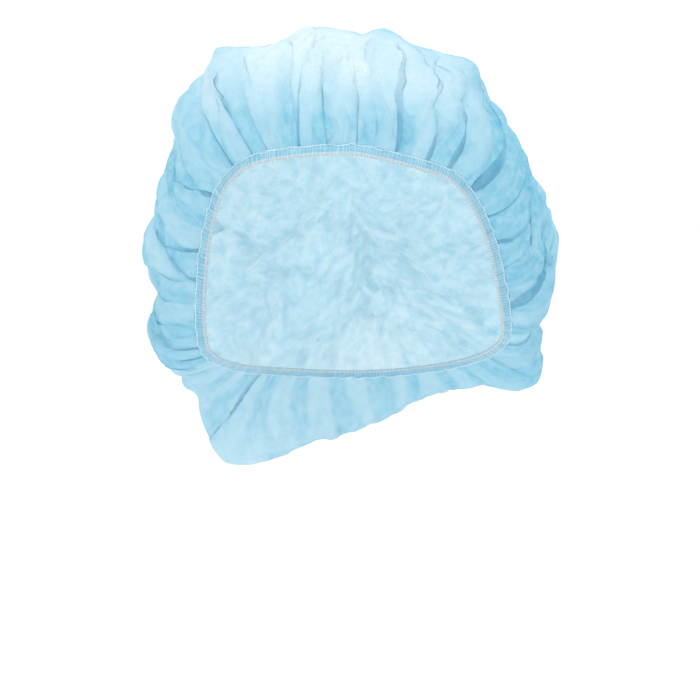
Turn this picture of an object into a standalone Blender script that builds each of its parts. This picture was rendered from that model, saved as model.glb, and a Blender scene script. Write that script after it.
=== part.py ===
"""Disposable bouffant cap of thin gathered nonwoven cloth, held in the form that it has when worn.

Metres, +Z up. The face opening looks along -Y. The origin is the middle of the elastic loop,
halfway between its forehead edge and its nape edge, where the head sits.
"""
import bpy
import numpy as np

# The elastic loop, measured along its free edge
LOOP_WIDTH = 0.142
LOOP_DEPTH = 0.160
LOOP_RISE = 0.107

# The crown, as it puffs out round the loop
CROWN_WIDTH = 0.198
CROWN_HEIGHT = 0.208
CROWN_LIFT = 0.012
TOP_RIDGE_BACK = 0.006
BAG_RIDGE_BACK = 0.094
BACK_REACH = 0.124
BACK_LIFT = 0.040

# Walls, edges and gaps
CLOTH_WALL = 0.001
HEM_WIDTH = 0.0027
HEM_WALL = 0.0014
ELASTIC_WIDTH = 0.0020
ELASTIC_WALL = 0.0013
CLEARANCE = 0.0003

# How far the cloth stands out of its smooth form
GATHER_DEPTH = 0.0030
FOLD_DEPTH = 0.0060
BAG_DENT = 0.0040
SHORT_WAY = 0.060

# Angles in degrees that the hem turns outwards from the head, at the forehead and at the nape
HEM_ROLL_FRONT = 10.0
HEM_ROLL_BACK = 95.0

# Numbers of faces. Each pleat of the gathered edge takes two columns.
PLEATS = 52
COLUMNS = 2 * PLEATS
FRONT_ROWS = 11
BACK_ROWS = 10
ELASTIC_SIDES = 6
HEM_ROWS_ACROSS = 2
LOOP_SAMPLES = 24 * COLUMNS

# Shares that set how full the curves are
LEAVING_SHARE = 0.4
FRONT_FULL_SHARE = 0.4
BACK_FULL_SHARE = 0.55
RIDGE_SWEEP_RATIO = 1.2
RIDGE_CALM_SHARE = 0.85
RIDGE_CALM_SPREAD_SHARE = 0.14
CENTRE_BACK_RATIO = 0.06
CENTRE_RISE_RATIO = 0.28

# The loop's free edge, from the forehead round the right ear and the nape and back.
# Columns: across as a share of half LOOP_WIDTH, back of half LOOP_DEPTH, up of half LOOP_RISE.
LOOP_TABLE = (
    (0.00, -1.00, 1.00),
    (0.18, -0.98, 0.96),
    (0.42, -0.91, 0.88),
    (0.63, -0.78, 0.78),
    (0.77, -0.65, 0.57),
    (0.89, -0.48, 0.21),
    (0.96, -0.31, -0.18),
    (1.00, -0.15, -0.48),
    (0.98, 0.03, -0.66),
    (0.80, 0.44, -0.83),
    (0.40, 0.87, -0.96),
    (0.00, 1.00, -1.00),
    (-0.39, 0.87, -0.97),
    (-0.77, 0.44, -0.89),
    (-0.95, 0.06, -0.74),
    (-0.98, -0.10, -0.52),
    (-0.97, -0.25, -0.11),
    (-0.93, -0.37, 0.29),
    (-0.84, -0.54, 0.68),
    (-0.66, -0.79, 0.90),
    (-0.36, -0.95, 0.98),
)

# The crown's outline seen from the front, with its lobes and dents.
# Columns: turn in degrees from the right ear over the top, reach as a share of the half sizes.
OUTLINE_TABLE = (
    (-174, 1.05),
    (-168, 0.98),
    (-161, 1.07),
    (-153, 1.14),
    (-147, 1.09),
    (-141, 1.10),
    (-135, 1.11),
    (-129, 1.19),
    (-125, 1.24),
    (-121, 1.26),
    (-116, 1.21),
    (-110, 1.13),
    (-100, 1.01),
    (-85, 0.91),
    (-68, 0.86),
    (-55, 0.89),
    (-46, 0.96),
    (-40, 1.11),
    (-36, 1.16),
    (-30, 1.11),
    (-25, 1.06),
    (-20, 1.03),
    (-9, 1.01),
    (3, 1.02),
    (14, 0.98),
    (23, 0.92),
    (33, 0.94),
    (39, 0.93),
    (47, 0.96),
    (57, 1.01),
    (63, 0.98),
    (73, 0.98),
    (81, 1.00),
    (87, 0.97),
    (95, 0.99),
    (102, 1.02),
    (108, 0.99),
    (115, 1.01),
    (121, 1.06),
    (126, 1.11),
    (132, 1.06),
    (137, 1.08),
    (141, 1.10),
    (146, 1.05),
    (150, 1.00),
    (156, 0.97),
    (160, 0.98),
    (165, 0.97),
    (170, 0.96),
    (178, 1.03),
)

# The main folds that run from the hem over the crown.
# Columns: turn in degrees at the hem, depth as a share of FOLD_DEPTH (positive stands out),
# spread in degrees, begin and end as shares of the way from the hem to the back, lean in degrees.
FOLD_TABLE = (
    (88, -0.7, 4.0, 0.05, 0.55, 5),
    (97, -0.9, 4.0, 0.10, 0.60, -4),
    (104, 0.6, 4.0, 0.05, 0.60, 2),
    (110, -0.8, 4.0, 0.05, 0.50, 4),
    (122, 0.7, 5.0, 0.10, 0.70, 3),
    (130, -1.0, 5.0, 0.00, 0.75, 3),
    (141, 0.7, 6.0, 0.10, 0.70, -2),
    (151, -0.9, 5.0, 0.05, 0.70, 3),
    (161, 0.5, 5.0, 0.00, 0.60, -4),
    (170, -0.9, 5.0, 0.00, 0.70, 2),
    (180, 0.6, 6.0, 0.10, 0.65, 0),
    (-168, -1.0, 5.0, 0.05, 0.75, -2),
    (-155, 0.6, 7.0, 0.05, 0.70, 3),
    (-143, -0.9, 5.0, 0.05, 0.80, -4),
    (-124, 0.7, 7.0, 0.10, 0.80, 4),
    (-108, -0.7, 6.0, 0.10, 0.80, -4),
    (-92, 0.5, 7.0, 0.10, 0.75, 3),
    (-72, -0.7, 7.0, 0.10, 0.80, -3),
    (-52, -0.9, 6.0, 0.05, 0.75, 4),
    (-36, 0.7, 5.0, 0.10, 0.70, 0),
    (-22, -0.9, 5.0, 0.05, 0.75, -3),
    (-8, 0.4, 6.0, 0.05, 0.65, 4),
    (4, -0.6, 5.0, 0.00, 0.60, 5),
    (17, 0.5, 5.0, 0.05, 0.65, 4),
    (26, -1.0, 5.0, 0.00, 0.70, -3),
    (37, 0.6, 5.0, 0.05, 0.60, 3),
    (44, -0.8, 4.0, 0.00, 0.65, -3),
    (56, 0.7, 5.0, 0.05, 0.65, 2),
    (65, -0.8, 4.0, 0.00, 0.60, 4),
    (76, 0.5, 5.0, 0.05, 0.55, 3),
)


def clear_scene():
    for old in list(bpy.data.objects):
        bpy.data.objects.remove(old, do_unlink=True)


def unit(vectors):
    """The vectors, each divided by its own length."""
    return vectors / np.linalg.norm(vectors, axis=-1, keepdims=True)


def along_closed(knots, values, period, at):
    """A closed curve of cubic pieces through the values, each slope taken from the two neighbours."""
    next_knots = np.append(knots[1:], knots[0] + period)
    last_knots = np.insert(knots[:-1], 0, knots[-1] - period)
    slopes = np.roll(values, -1, axis=0) - np.roll(values, 1, axis=0)
    slopes = slopes / (next_knots - last_knots)[:, None]
    at = (at - knots[0]) % period + knots[0]
    here = np.searchsorted(knots, at, side="right") - 1
    there = (here + 1) % len(knots)
    span = (next_knots - knots)[here][:, None]
    t = (at - knots[here])[:, None] / span
    bend_out = t * (1 - t) ** 2 * span * slopes[here]
    bend_in = -t ** 2 * (1 - t) * span * slopes[there]
    ease = t * t * (3 - 2 * t)
    return values[here] * (1 - ease) + values[there] * ease + bend_out + bend_in


def loop_points():
    """The loop's free edge at evenly spaced columns, by its length, from the forehead."""
    half_sizes = np.array((LOOP_WIDTH, LOOP_DEPTH, LOOP_RISE)) / 2
    corners = np.array(LOOP_TABLE) * half_sizes
    chords = np.linalg.norm(np.roll(corners, -1, axis=0) - corners, axis=1)
    knots = np.insert(np.cumsum(chords)[:-1], 0, 0.0)
    fine_at = np.linspace(0.0, chords.sum(), LOOP_SAMPLES + 1)
    fine = along_closed(knots, corners, chords.sum(), fine_at)
    fine[-1] = fine[0]
    travelled = np.insert(np.cumsum(np.linalg.norm(np.diff(fine, axis=0), axis=1)), 0, 0.0)
    stops = travelled[-1] * np.arange(COLUMNS) / COLUMNS
    return np.stack([np.interp(stops, travelled, fine[:, axis]) for axis in range(3)], axis=1)


def column_turns():
    """Each column's turn in radians: 90 degrees at the forehead, falling towards the right ear."""
    return np.pi / 2 - 2 * np.pi * np.arange(COLUMNS) / COLUMNS


def loop_frame(loop, turns):
    """At each column: away from the head, across the band towards the crown, and square to the band."""
    along = unit(np.roll(loop, -1, axis=0) - np.roll(loop, 1, axis=0))
    head_centre = np.array((0.0, CENTRE_BACK_RATIO * LOOP_DEPTH / 2, CENTRE_RISE_RATIO * LOOP_RISE / 2))
    outwards = loop - head_centre
    outwards = unit(outwards - along * np.sum(outwards * along, axis=1, keepdims=True))
    over_head = np.cross(outwards, along)
    share_back = (1 - np.sin(turns)) / 2
    roll = np.radians(HEM_ROLL_FRONT + (HEM_ROLL_BACK - HEM_ROLL_FRONT) * share_back)[:, None]
    across = np.cos(roll) * over_head + np.sin(roll) * outwards
    return outwards, across, np.cross(along, across)


def outline_points(turns):
    """The crown's widest point at each column: a bent ellipse seen from the front, further back below."""
    table = np.array(OUTLINE_TABLE, float)
    reach = along_closed(table[:, 0], table[:, 1:], 360.0, np.degrees(turns))[:, 0]
    drop = ((1 - np.sin(turns)) / 2) ** RIDGE_SWEEP_RATIO
    return np.stack((
        CROWN_WIDTH / 2 * reach * np.cos(turns),
        TOP_RIDGE_BACK + (BAG_RIDGE_BACK - TOP_RIDGE_BACK) * drop,
        CROWN_LIFT + CROWN_HEIGHT / 2 * reach * np.sin(turns),
    ), axis=1)


def bezier(a, b, c, d, steps):
    """Cubic Bezier curves, one for each column, read at the same steps: rows by columns by 3."""
    t = steps[:, None, None]
    return a * (1 - t) ** 3 + 3 * b * t * (1 - t) ** 2 + 3 * c * t ** 2 * (1 - t) + d * t ** 3


def smooth_crown(edge, outwards, across, ridge):
    """The crown without folds: from the hem out to its ridge, then over the back to one last point."""
    backwards = np.array((0.0, 1.0, 0.0))
    leaving = unit(across * (1 - LEAVING_SHARE) + outwards * LEAVING_SHARE)
    handle = FRONT_FULL_SHARE * np.linalg.norm(ridge - edge, axis=1, keepdims=True)
    front_steps = np.linspace(0.0, 1.0, FRONT_ROWS + 1)
    front = bezier(edge, edge + leaving * handle, ridge - backwards * handle, ridge, front_steps)
    pole = np.array((0.0, BACK_REACH, BACK_LIFT))
    flat_way = (ridge - pole) * (1.0, 0.0, 1.0)
    deep_way = (pole - ridge) * (0.0, 1.0, 0.0)
    back_steps = np.linspace(0.0, 1.0, BACK_ROWS + 1)[1:-1]
    back = bezier(ridge, ridge + deep_way * BACK_FULL_SHARE, pole + flat_way * BACK_FULL_SHARE,
                  np.broadcast_to(pole, ridge.shape), back_steps)
    return np.concatenate((front, back)), pole


def grid_normals(grid):
    """Outward normals of a grid that closes round its columns and stays open at its first row."""
    along = np.roll(grid, -1, axis=1) - np.roll(grid, 1, axis=1)
    down = np.gradient(grid, axis=0)
    return unit(np.cross(down, along))


def window(share, begin, end):
    """1 between begin and end, easing to 0 over a quarter of the stretch at each side."""
    ease = (end - begin) / 4
    rise = np.clip((share - begin) / ease, 0, 1)
    fall = np.clip((end - share) / ease, 0, 1)
    return rise * rise * (3 - 2 * rise) * fall * fall * (3 - 2 * fall)


def fold_heights(turns, shares, ways):
    """How far the cloth stands out: main folds, the pleats of the gathered edge and soft dents behind.

    The outline's rows hold the lobes at the ridge, so the folds are calm there, and they are
    shallow in the columns whose way from the hem to the ridge is short.
    """
    degrees = np.degrees(turns)[None, :]
    shares = shares[:, None]
    heights = np.zeros((shares.size, turns.size))
    for turn, depth, spread, begin, end, lean in FOLD_TABLE:
        middle = turn + lean * shares
        off = (degrees - middle + 180) % 360 - 180
        heights += FOLD_DEPTH * depth * np.exp(-(off / spread) ** 2) * window(shares, begin, end)
    pleat = np.where(np.arange(turns.size) % 2 == 0, 1.0, -1.0)[None, :]
    uneven = 0.7 + 0.3 * np.sin(7 * turns + 1.0)[None, :]
    heights += GATHER_DEPTH * pleat * uneven * window(shares, 0.0, 0.5)
    soft = np.sin(5 * turns + 9 * shares) * np.sin(3 * turns - 7 * shares + 2.0)
    heights += BAG_DENT * soft * window(shares, 0.35, 0.97)
    ridge_share = FRONT_ROWS / (FRONT_ROWS + BACK_ROWS)
    calm = 1 - RIDGE_CALM_SHARE * np.exp(-((shares - ridge_share) / RIDGE_CALM_SPREAD_SHARE) ** 2)
    return heights * calm * np.minimum(ways / SHORT_WAY, 1.0)[None, :]


def add_material(thing, name, colour, roughness):
    material = bpy.data.materials.new(name)
    material.use_nodes = True
    shader = material.node_tree.nodes["Principled BSDF"]
    shader.inputs["Base Color"].default_value = (*colour, 1.0)
    shader.inputs["Roughness"].default_value = roughness
    shader.inputs["Metallic"].default_value = 0.0
    thing.data.materials.append(material)


def add_piece(name, vertices, faces):
    mesh = bpy.data.meshes.new(name)
    mesh.from_pydata(vertices.tolist(), [], faces)
    mesh.shade_smooth()
    piece = bpy.data.objects.new(name, mesh)
    bpy.context.scene.collection.objects.link(piece)
    return piece


def add_wall(piece, thickness):
    """Gives a sheet its wall, half on each side."""
    wall = piece.modifiers.new("wall", "SOLIDIFY")
    wall.thickness = thickness
    wall.offset = 0.0


def ring_faces(rows, columns, close_rows):
    """Quads of a grid that closes round its columns and, for a tube, round its rows too."""
    row_pairs = rows if close_rows else rows - 1
    return [(row * columns + column,
             (row + 1) % rows * columns + column,
             (row + 1) % rows * columns + (column + 1) % columns,
             row * columns + (column + 1) % columns)
            for row in range(row_pairs) for column in range(columns)]


def build_crown(loop, turns, outwards, across):
    """The gathered cloth from the hem to the back, one sheet with a thin wall."""
    edge = loop + across * (ELASTIC_WIDTH + HEM_WIDTH + 2 * CLEARANCE)
    ridge = outline_points(turns)
    grid, pole = smooth_crown(edge, outwards, across, ridge)
    shares = np.arange(len(grid)) / len(grid)
    ways = np.linalg.norm(ridge - edge, axis=1)
    grid = grid + grid_normals(grid) * fold_heights(turns, shares, ways)[:, :, None]
    vertices = np.concatenate((grid.reshape(-1, 3), pole[None, :]))
    faces = ring_faces(len(grid), COLUMNS, False)
    last_row = (len(grid) - 1) * COLUMNS
    faces += [(last_row + column, len(vertices) - 1, last_row + (column + 1) % COLUMNS)
              for column in range(COLUMNS)]
    crown = add_piece("crown", vertices, faces)
    add_wall(crown, CLOTH_WALL)
    add_material(crown, "nonwoven_cloth", (0.35, 0.76, 0.90), 0.8)


def build_hem_band(loop, across):
    """The folded band of cloth between the crown and the elastic."""
    steps = np.linspace(0.0, 1.0, HEM_ROWS_ACROSS + 1)[:, None, None]
    grid = loop + across * (ELASTIC_WIDTH + CLEARANCE + HEM_WIDTH * steps)
    band = add_piece("hem_band", grid.reshape(-1, 3), ring_faces(len(grid), COLUMNS, False))
    add_wall(band, HEM_WALL)
    add_material(band, "folded_nonwoven_hem", (0.25, 0.65, 0.82), 0.8)


def build_elastic(loop, across, square):
    """The flat elastic at the free edge, an oval cord carried round the loop."""
    spins = 2 * np.pi * np.arange(ELASTIC_SIDES) / ELASTIC_SIDES
    wide = ELASTIC_WIDTH / 2 * np.cos(spins)[:, None, None]
    thick = ELASTIC_WALL / 2 * np.sin(spins)[:, None, None]
    tube = loop + across * (ELASTIC_WIDTH / 2 + wide) + square * thick
    elastic = add_piece("elastic", tube.reshape(-1, 3), ring_faces(ELASTIC_SIDES, COLUMNS, True))
    add_material(elastic, "white_elastic", (0.86, 0.90, 0.91), 0.7)


def main():
    clear_scene()
    loop = loop_points()
    turns = column_turns()
    outwards, across, square = loop_frame(loop, turns)
    build_crown(loop, turns, outwards, across)
    build_hem_band(loop, across)
    build_elastic(loop, across, square)


main()
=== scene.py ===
"""The looks of a disposable bouffant cap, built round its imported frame.

The cloth, hem, elastic and stitches are surfaces worked out from the same named sizes and tables
as the solids. Everything is in metres, in the frame's own place: +Z up, the opening along -Y,
the origin at the middle of the elastic loop.
"""
import math

import bpy
import numpy as np
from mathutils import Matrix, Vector


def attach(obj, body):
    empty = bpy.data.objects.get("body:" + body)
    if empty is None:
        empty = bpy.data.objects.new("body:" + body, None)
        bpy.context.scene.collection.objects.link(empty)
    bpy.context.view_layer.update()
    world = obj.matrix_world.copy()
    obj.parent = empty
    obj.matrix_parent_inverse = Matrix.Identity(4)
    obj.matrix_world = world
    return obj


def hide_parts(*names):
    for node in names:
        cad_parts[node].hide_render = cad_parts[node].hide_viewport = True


bl_info = {
    "name": "Disposable bouffant cap",
    "version": (1, 0, 0),
    "blender": (4, 5, 0),
    "location": "3D View > Sidebar > Bouffant cap",
    "description": "Builds the gathered nonwoven cloth, hem, elastic and stitches of a bouffant cap",
    "category": "Mesh",
}

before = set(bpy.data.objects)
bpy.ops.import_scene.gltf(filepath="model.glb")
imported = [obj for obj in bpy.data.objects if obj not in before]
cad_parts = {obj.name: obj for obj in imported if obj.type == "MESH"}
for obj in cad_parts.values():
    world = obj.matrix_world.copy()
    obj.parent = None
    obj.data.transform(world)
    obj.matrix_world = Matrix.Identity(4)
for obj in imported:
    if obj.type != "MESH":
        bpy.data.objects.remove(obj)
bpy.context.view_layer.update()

# Shares that the solids use for the same curves
LEAVING_TURN = 0.4
FRONT_FULLNESS = 0.4
BACK_FULLNESS = 0.55
RIDGE_SWEEP = 1.2
CENTRE_BACK = 0.06
CENTRE_RISE = 0.28
HEM_ROLL_FRONT = 10.0
HEM_ROLL_BACK = 95.0

# The loop's free edge, from its high front round the right side and the low back to the front again.
# Columns: across as a share of half the loop's width, back of half its depth, up of half its rise.
LOOP_TABLE = (
    (0.00, -1.00, 1.00),
    (0.18, -0.98, 0.96),
    (0.42, -0.91, 0.88),
    (0.63, -0.78, 0.78),
    (0.77, -0.65, 0.57),
    (0.89, -0.48, 0.21),
    (0.96, -0.31, -0.18),
    (1.00, -0.15, -0.48),
    (0.98, 0.03, -0.66),
    (0.80, 0.44, -0.83),
    (0.40, 0.87, -0.96),
    (0.00, 1.00, -1.00),
    (-0.39, 0.87, -0.97),
    (-0.77, 0.44, -0.89),
    (-0.95, 0.06, -0.74),
    (-0.98, -0.10, -0.52),
    (-0.97, -0.25, -0.11),
    (-0.93, -0.37, 0.29),
    (-0.84, -0.54, 0.68),
    (-0.66, -0.79, 0.90),
    (-0.36, -0.95, 0.98),
)

# The crown's outline seen from the front, with its lobes and dents.
# Columns: turn in degrees from the right side over the top, reach as a share of the half sizes.
OUTLINE_TABLE = (
    (-174, 1.05),
    (-168, 0.98),
    (-161, 1.07),
    (-153, 1.14),
    (-147, 1.09),
    (-141, 1.10),
    (-135, 1.11),
    (-129, 1.19),
    (-125, 1.24),
    (-121, 1.26),
    (-116, 1.21),
    (-110, 1.13),
    (-100, 1.01),
    (-85, 0.91),
    (-68, 0.86),
    (-55, 0.89),
    (-46, 0.96),
    (-40, 1.11),
    (-36, 1.16),
    (-30, 1.11),
    (-25, 1.06),
    (-20, 1.03),
    (-9, 1.01),
    (3, 1.02),
    (14, 0.98),
    (23, 0.92),
    (33, 0.94),
    (39, 0.93),
    (47, 0.96),
    (57, 1.01),
    (63, 0.98),
    (73, 0.98),
    (81, 1.00),
    (87, 0.97),
    (95, 0.99),
    (102, 1.02),
    (108, 0.99),
    (115, 1.01),
    (121, 1.06),
    (126, 1.11),
    (132, 1.06),
    (137, 1.08),
    (141, 1.10),
    (146, 1.05),
    (150, 1.00),
    (156, 0.97),
    (160, 0.98),
    (165, 0.97),
    (170, 0.96),
    (178, 1.03),
)

# Pleats laid flat, so that three layers show as a deeper band with one crisp edge.
# Columns: turn in degrees at the hem, overlap in mm (the sign tells which side lies on top), spread
# in mm, begin and end of the way from the hem in mm, lean in degrees over that way.
PLEAT_TABLE = (
    (89, 3.4, 2.2, -10, 78, 1),
    (97, -3.2, 2.4, -14, 70, 3),
    (107, 4.2, 3.0, -16, 84, -7),
    (116, -2.4, 2.0, 24, 100, 6),
    (121, -3.2, 2.4, -12, 66, 5),
    (131, 4.6, 3.2, -14, 90, 2),
    (143, 4.4, 2.8, -12, 66, 14),
    (153, -3.2, 2.2, 14, 82, -12),
    (162, -4.2, 3.0, -12, 70, 12),
    (176, 5.6, 3.4, -12, 58, -16),
    (-171, -4.0, 2.6, 10, 78, 12),
    (-160, 5.0, 3.2, -12, 60, -9),
    (77, -5.2, 3.2, -14, 116, 1),
    (70, 2.4, 1.8, 26, 104, 3),
    (66, -4.0, 2.6, -10, 66, 4),
    (58, 6.0, 3.6, -14, 70, 4),
    (48, -5.4, 3.2, -12, 104, 3),
    (38, 4.2, 2.8, -14, 62, -4),
    (30, -4.8, 3.2, -14, 62, -9),
    (21, 3.4, 2.4, 10, 76, 10),
    (11, -3.0, 2.2, 16, 70, -12),
    (2, 8.0, 4.4, -14, 62, 16),
    (-15, -5.6, 3.6, -10, 58, 12),
    (-27, 4.6, 3.2, -10, 54, -10),
)

# Hollows where the cloth falls in beside the outline's lobes.
# Columns: turn in degrees, depth in mm, spread in degrees, middle of the hollow in mm from the hem
# and its reach in mm along the same way.
HOLLOW_TABLE = (
    (143, 2.5, 6, 75, 25),
    (186, 7.5, 5, 44, 26),
    (207, 3.0, 5, 40, 20),
    (-12, 5.0, 8, 30, 24),
    (2, 5.5, 10, 40, 26),
)

# Painted shade round the cap: how much deeper the blue is painted in front where it lies in shade; a negative
# share paints it lighter.
# Columns: degrees from the top towards the left side, spread in degrees, share of a full heap.
PAINTED_SHADE_TABLE = (
    (-50, 20, 0.42),
    (62, 20, 0.16),
    (-98, 22, -0.10),
)

# Lengths in metres along the cloth's way from the hem, or beside its ridge
FOLD_LIMIT = 0.006
GATHER_REACH = 0.035
RIDGE_SPREAD = 0.028
BESIDE_SPREAD = 0.045
RIM_SPREAD = 0.017
SHORT_WAY = 0.065
STITCHED_WAY = 0.005
LARGE_CREASES = (0.060, 0.072)
SMALL_CREASES = (0.026, 0.030)

# Shares of the way from the hem to the last point at the back: where a change begins and ends
BACK_SHARES = (0.35, 0.65)
FOLDS_END = (0.78, 0.42)
PLEATS_END = (0.30, 0.44)
POLE_SHARES = (0.97, 0.82)
TOP_SHARES = (0.62, 0.50)

# The outline behind its ridge: how far its corners are rounded, in radians, and its share
BACK_SOFTNESS = 0.14
BACK_SHARE = 0.99

# Flat pleats: how far the middle layer moves back and the upper one rises, as shares of the overlap
PLEAT_SHIFT = 0.62
PLEAT_RISE = 0.10
FULL_OVERLAP = 5.0
CHANCE_PLEATS = 56
MM = 1000

# Lengths of the patterns on the band, in metres
LOOP_LENGTH = 0.55
BAND_GIRTH = 0.011
CORD_GIRTH = 0.0054
THREAD_GIRTH = 0.0008

# Distances between the marks in the materials, in metres
CLOUD_SPACING = 0.007
FILAMENT_SPACING = 0.0015
WELD_SPACING = 0.0016
YARN_SPACING = 0.0007
PLY_SPACING = 0.0006

# How much cloth shows, with painted light and shade: shares of a full heap, which the layer map adds up or
# takes away.
# The share taken from the smooth front is painted light, and the share taken towards the underside paints it
# lighter.
PLAIN_LAYERS = 0.70
SMOOTH_PAINTED_LIGHT = 0.77
RIM_MORE = 0.72
GATHERS_MORE = 0.40
PLEATS_MORE = 0.32
PATCHES_MORE = 0.12
BACK_MORE = 0.08
UNDERSIDE_PAINTED_LIGHT = 0.16

# The smooth part in front, painted light: near white, as if lit from above and through from behind. Degrees
# from the top towards the left side, the lengths over which it begins, and the shares of the way over which
# it ends
PAINTED_LIGHT_MIDDLE = 4
PAINTED_LIGHT_SPREAD = 33
PAINTED_LIGHT_BEGIN = (0.004, 0.045)
PAINTED_LIGHT_END = (0.62, 0.45)
TOP_SPREAD = 38


def hex_colour(text):
    """Turns an sRGB hex colour into linear red, green and blue."""
    parts = np.array([int(text[i:i + 2], 16) / 255 for i in (1, 3, 5)])
    linear = np.where(parts <= 0.04045, parts / 12.92, ((parts + 0.055) / 1.055) ** 2.4)
    return tuple(float(part) for part in linear)


# Settings

def length_property(name, description, default, low=0.0, high=1.0):
    return bpy.props.FloatProperty(name=name, description=description, default=default,
                                   min=low, max=high, precision=5, subtype="DISTANCE", unit="LENGTH")


def colour_property(name, description, text):
    return bpy.props.FloatVectorProperty(name=name, description=description, size=3, min=0.0, max=1.0,
                                         default=hex_colour(text), subtype="COLOR")


def share_property(name, description, default, low=-4.0, high=4.0):
    return bpy.props.FloatProperty(name=name, description=description, default=default,
                                   min=low, max=high, precision=3)


def count_property(name, description, default, low=3, high=2000):
    return bpy.props.IntProperty(name=name, description=description, default=default, min=low, max=high)


class BouffantLoopSettings(bpy.types.PropertyGroup):
    """The elastic loop, measured along its free edge."""
    width: length_property("Width", "Side to side", 0.142)
    depth: length_property("Depth", "Front to back", 0.160)
    rise: length_property("Rise", "Height of the front over the back", 0.107)
    elastic_width: length_property("Elastic width", "Across the flat elastic", 0.0020)
    elastic_thickness: length_property("Elastic thickness", "Through the flat elastic", 0.0013)
    hem_width: length_property("Hem width", "Free edge to the needle line", 0.0053)
    hem_thickness: length_property("Hem thickness", "Through the folded cloth", 0.0008)
    stitch_length: length_property("Stitch length", "From one needle hole to the next", 0.0015)
    thread_thickness: length_property("Thread thickness", "Across one thread", 0.00030)
    elastic_colour: colour_property("Elastic colour", "Covered rubber", "#bcd3dc")
    thread_colour: colour_property("Thread colour", "Sewing thread", "#ecf8fc")


class BouffantCrownSettings(bpy.types.PropertyGroup):
    """The puffed crown and the folds in its cloth."""
    width: length_property("Width", "Across the crown", 0.198)
    height: length_property("Height", "Top to lowest fold", 0.208)
    lift: length_property("Lift", "Crown's middle over the loop's", 0.012, -0.2, 0.2)
    top_back: length_property("Top ridge back", "How far back the top edge is", 0.006, -0.2, 0.2)
    bag_back: length_property("Bag ridge back", "How far back the lowest edge is", 0.094, -0.2, 0.2)
    back_reach: length_property("Back reach", "How far back the cap goes", 0.124)
    back_lift: length_property("Back lift", "Height of the rearmost point", 0.040, -0.2, 0.2)
    cloth_across: length_property("Cloth across", "Width of the round cloth before gathering", 0.480)
    gather_depth: length_property("Gather depth", "Pleats beside the hem", 0.0013)
    fold_depth: length_property("Fold depth", "Folds over the crown", 0.0018)
    wave_depth: length_property("Wave depth", "Broad swells", 0.0020)
    crumple_depth: length_property("Crumple depth", "Creases in all directions", 0.0026)
    lean: share_property("Lean", "How far the folds lie over to one side", 0.8)
    gathers: count_property("Gathers", "Pleats round the hem", 50)
    folds: count_property("Folds", "Folds round the crown", 22)
    columns: count_property("Columns", "Faces round the cloth", 640)
    rows: count_property("Rows", "Faces from the hem to the back", 144)
    cloth_colour: colour_property("Cloth colour", "Where the fibres lie dense", "#82c5da")
    thin_colour: colour_property("Thin cloth colour", "Where the fibres lie thin", "#b5ddea")
    single_painted_light_colour: colour_property("Single layer colour", "Where one layer lies smooth", "#f0f4f6")
    # Painted light: the near-white colour that the smooth front is painted, as if lit from above and through
    # from behind
    glow_colour: colour_property("Colour let through", "Light seen through one layer", "#dbeff6")


class BouffantStageSettings(bpy.types.PropertyGroup):
    """The floor, the lights and the camera."""
    floor_level: length_property("Floor level", "Height of the floor", -0.193, -2.0, 0.0)
    camera_distance: length_property("Camera distance", "From the middle of the loop", 1.5, 0.2, 5.0)
    camera_pitch: bpy.props.FloatProperty(name="Camera pitch", description="Downward look",
                                          default=math.radians(3.0), subtype="ANGLE", unit="ROTATION")
    frame_width: length_property("Frame width", "What the picture shows across at the loop", 0.336)
    aim_across: length_property("Aim across", "Sideways place of the picture's middle", -0.0010, -1, 1)
    aim_height: length_property("Aim height", "Height of the picture's middle", -0.0389, -1, 1)
    floor_colour: colour_property("Floor colour", "Matt paper", "#fdfdfd")


# Curves and noise

def unit(vectors):
    """The vectors, each divided by its own length."""
    return vectors / np.maximum(np.linalg.norm(vectors, axis=-1, keepdims=True), 1e-12)


def eased(low, high, value):
    """0 below low and 1 above high, with a smooth step of 3t^2 - 2t^3 between."""
    t = np.clip((value - low) / (high - low), 0.0, 1.0)
    return t * t * (3 - 2 * t)


def bell(distance, spread):
    """exp(-(d / s)^2) of a distance and its spread."""
    return np.exp(-(distance / spread) ** 2)


def degrees_off(turns, middle):
    """How far each turn is from a middle, in degrees from -180 to 180."""
    return (np.degrees(turns)[None, :] - middle + 180) % 360 - 180


def creased(value, softness=0.15):
    """The size of a value, rounded where it would come to a point: sqrt(v^2 + e^2) - e."""
    return np.sqrt(value * value + softness * softness) - softness


def along_closed(knots, values, period, at):
    """A closed curve of cubic pieces through the values, each slope taken from the two neighbours."""
    next_knots = np.append(knots[1:], knots[0] + period)
    last_knots = np.insert(knots[:-1], 0, knots[-1] - period)
    slopes = np.roll(values, -1, axis=0) - np.roll(values, 1, axis=0)
    slopes = slopes / (next_knots - last_knots)[:, None]
    at = (at - knots[0]) % period + knots[0]
    here = np.searchsorted(knots, at, side="right") - 1
    there = (here + 1) % len(knots)
    span = (next_knots - knots)[here][:, None]
    t = (at - knots[here])[:, None] / span
    bend_out = t * (1 - t) ** 2 * span * slopes[here]
    bend_in = -t ** 2 * (1 - t) * span * slopes[there]
    ease = t * t * (3 - 2 * t)
    return values[here] * (1 - ease) + values[there] * ease + bend_out + bend_in


def wave_noise(seed, rows, columns, waves, spread, rows_alike):
    """Seeded noise on a grid that closes round its columns.

    White noise keeps only what lies near so many waves round, in a bell of that spread, and what
    changes slowly over so many rows, so its ridges run from the hem to the back and branch.
    """
    white = np.random.default_rng(seed).standard_normal((2 * rows, columns))
    round_waves = np.abs(np.fft.fftfreq(columns) * columns)[None, :]
    row_waves = np.fft.fftfreq(2 * rows)[:, None]
    kept = np.exp(-0.5 * ((round_waves - waves) / spread) ** 2)
    kept = kept * np.exp(-0.5 * (row_waves * rows_alike * np.pi) ** 2)
    noise = np.fft.ifft2(np.fft.fft2(white) * kept).real[:rows]
    return noise / noise.std()


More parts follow.
